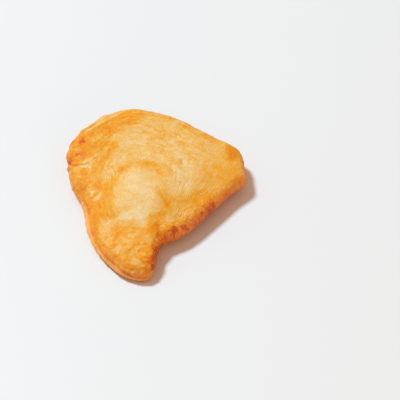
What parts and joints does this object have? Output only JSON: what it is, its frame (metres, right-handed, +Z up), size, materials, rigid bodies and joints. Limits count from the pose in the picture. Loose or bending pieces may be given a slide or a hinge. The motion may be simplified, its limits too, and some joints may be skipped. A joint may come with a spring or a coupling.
{
  "type": "samosa",
  "caption": "Fried samosa: a puffed, three-cornered pastry with a hooked tip, a pinched corner and a sealed edge, lying flat.",
  "frame": {"origin": "centre of the pastry's plan box, on the surface it rests on", "axes": "+Z up, -Y towards the hooked front tip, +X towards the blunt corner, -X towards the pinched corner and the sealed edge"},
  "size_m": [0.094, 0.124, 0.017],
  "materials": {
    "pastry": "fried crust, low oily sheen"
  },
  "bodies": {
    "root": {"pastry": "pastry"}
  },
  "joints": []
}
